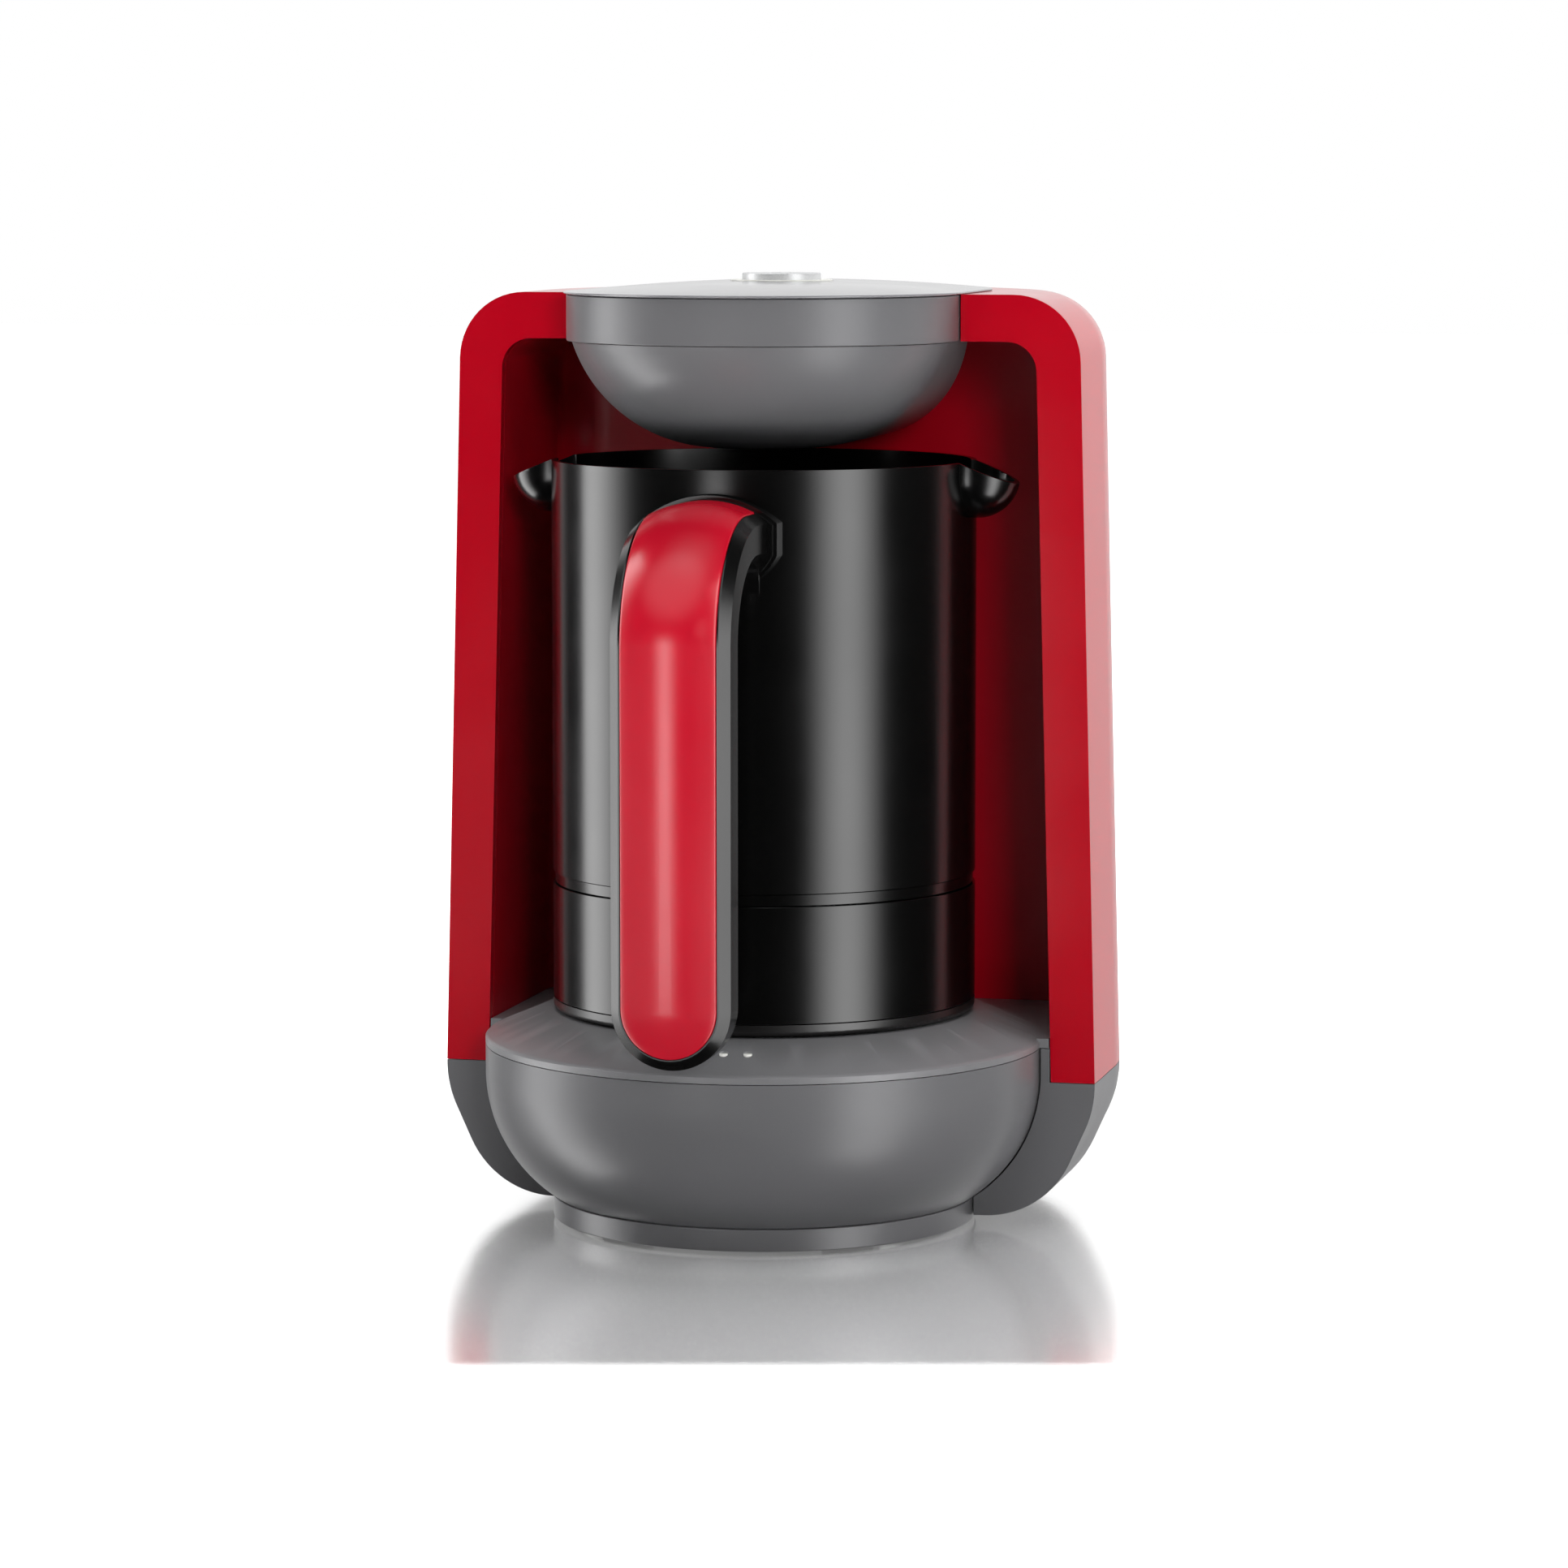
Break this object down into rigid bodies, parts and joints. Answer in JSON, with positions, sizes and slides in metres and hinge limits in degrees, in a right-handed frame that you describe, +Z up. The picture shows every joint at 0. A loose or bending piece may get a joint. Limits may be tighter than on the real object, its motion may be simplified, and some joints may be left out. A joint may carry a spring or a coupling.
{
  "type": "electric turkish coffee maker",
  "caption": "Arch-shaped coffee maker with a round base, a brewing head with a start button, and a handled pot with a heater and side spouts that slides out to the front.",
  "frame": {"origin": "middle of the footprint of the whole object with the pot in place, on the surface that it stands on", "axes": "+Z up, front with the pot's handle toward -Y, +X to the right of someone who looks along +Y"},
  "size_m": [0.144, 0.1828, 0.2026],
  "materials": {
    "red_shell": "glossy red moulded plastic",
    "red_liner": "glossy dark red moulded plastic",
    "grey_plastic": "smooth mid grey moulded plastic",
    "dark_plastic": "matt dark grey moulded plastic",
    "rubber": "matt black rubber",
    "zinc_steel": "zinc plated steel",
    "clear_lens": "milky clear plastic",
    "sensor_lens": "dark infrared window",
    "board": "green solder mask",
    "button_silver": "silver painted plastic, satin",
    "spring_steel": "spring steel wire",
    "black_plastic": "glossy black moulded plastic",
    "relay_blue": "blue moulded plastic",
    "capacitor_film": "yellow film capacitor case",
    "white_plastic": "white moulded plastic",
    "brass": "plain brass",
    "tin": "tin plated brass",
    "pot_enamel": "glossy black coating on steel",
    "aluminium_plate": "machined aluminium",
    "element_sheath": "oxidised steel tube",
    "ceramic": "plain ceramic case",
    "inlay_red": "glossy red moulded plastic"
  },
  "bodies": {
    "body": {"outer_shell": "red_shell", "niche_liner": "red_liner", "lower_shroud": "grey_plastic", "base_bowl": "grey_plastic", "deck_plate": "grey_plastic", "foot_ring": "grey_plastic", "bottom_cover": "dark_plastic", "rubber_feet": "rubber", "bottom_screws": "zinc_steel", "deck_lights": "clear_lens", "head_band": "grey_plastic", "head_bowl": "grey_plastic", "sensor_window": "sensor_lens", "sensor_board": "board", "top_lid": "grey_plastic", "button_spring": "spring_steel", "light_ring": "clear_lens", "push_switch": "black_plastic", "control_board": "board", "board_screws": "zinc_steel", "buzzer": "black_plastic", "power_board": "board", "relay": "relay_blue", "capacitor": "capacitor_film", "terminal_block": "white_plastic", "standoffs": "brass", "wire_harness": "black_plastic", "cord_inlet": "dark_plastic", "pot_socket": "black_plastic", "socket_contacts": "brass"},
    "pot": {"pot_vessel": "pot_enamel", "seam_bead": "black_plastic", "heater_housing": "black_plastic", "heater_plate": "aluminium_plate", "heating_element": "element_sheath", "thermostat": "ceramic", "pot_plug": "black_plastic", "plug_pins": "tin", "pot_base_cover": "black_plastic", "pot_base_screws": "zinc_steel", "handle_pad": "black_plastic", "handle_body": "black_plastic", "handle_inlay": "inlay_red", "handle_screws": "zinc_steel"},
    "button": {"start_button": "button_silver"}
  },
  "joints": [
    {"name": "pot_slide", "type": "slide", "parent": "body", "child": "pot", "axis": [0, -1, 0], "range_m": [0, 0.125]},
    {"name": "button_press", "type": "slide", "parent": "body", "child": "button", "axis": [0, 0, -1], "range_m": [0, 0.0012], "stiffness_N_per_m": 400, "springref_m": -0.001, "deforming": ["button_spring"]}
  ]
}
